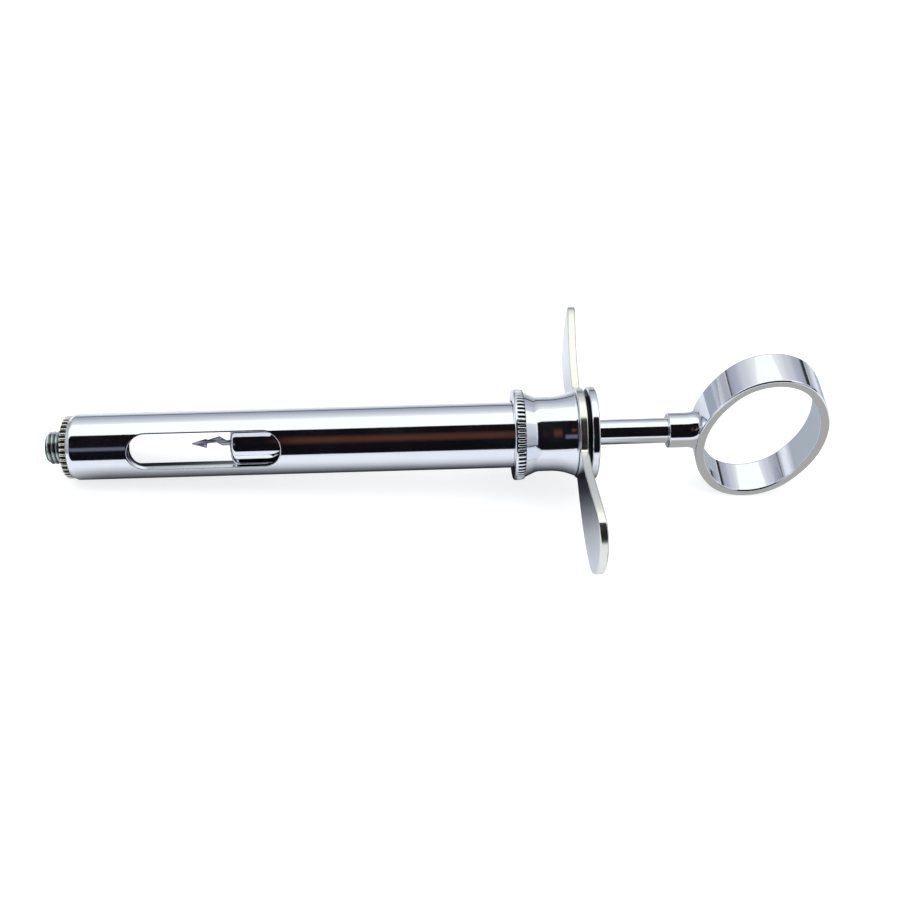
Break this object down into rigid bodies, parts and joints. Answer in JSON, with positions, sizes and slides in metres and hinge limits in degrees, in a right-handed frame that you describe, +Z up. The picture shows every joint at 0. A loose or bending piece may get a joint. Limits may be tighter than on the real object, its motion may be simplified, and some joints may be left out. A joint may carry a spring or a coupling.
{
  "type": "dental aspirating syringe",
  "caption": "Metal aspirating syringe with a windowed barrel, knurled collar, winged finger plate and a barbed plunger that slides and turns on a thumb ring.",
  "frame": {"origin": "on the barrel's axis, at the flange face that the needle's hub screws up against", "axes": "+X along the barrel from the needle end to the thumb ring, +Z up as the syringe lies on a table with its wings level and its thumb ring upright, so the wings lie along Y"},
  "size_m": [0.1412, 0.0578, 0.0324],
  "materials": {
    "nickel": "bright nickel plate, slightly warm",
    "barrel_chrome": "mirror chrome on a turned tube",
    "collar_chrome": "mirror chrome with a knurled ring",
    "grip_chrome": "polished plate with ivory-toned edges",
    "bearing_chrome": "mirror chrome",
    "seal_rubber": "black nitrile rubber",
    "rod_chrome": "mirror chrome",
    "piston_chrome": "mirror chrome",
    "harpoon_steel": "bright ground steel",
    "ring_chrome": "mirror chrome"
  },
  "bodies": {
    "syringe_body": {"needle_adapter": "nickel", "barrel": "barrel_chrome", "collar": "collar_chrome", "finger_grip": "grip_chrome", "guide_bearing": "bearing_chrome"},
    "seal": {"rod_seal": "seal_rubber"},
    "plunger": {"plunger_rod": "rod_chrome", "piston_head": "piston_chrome", "harpoon": "harpoon_steel", "thumb_ring": "ring_chrome"}
  },
  "joints": [
    {"name": "plunger_turn", "type": "hinge", "parent": "syringe_body", "child": "seal", "pos_m": [0.0936, 0, 0], "axis": [1, 0, 0], "continuous": true},
    {"name": "plunger_slide", "type": "slide", "parent": "seal", "child": "plunger", "axis": [1, 0, 0], "range_m": [-0.013, 0.049]}
  ]
}
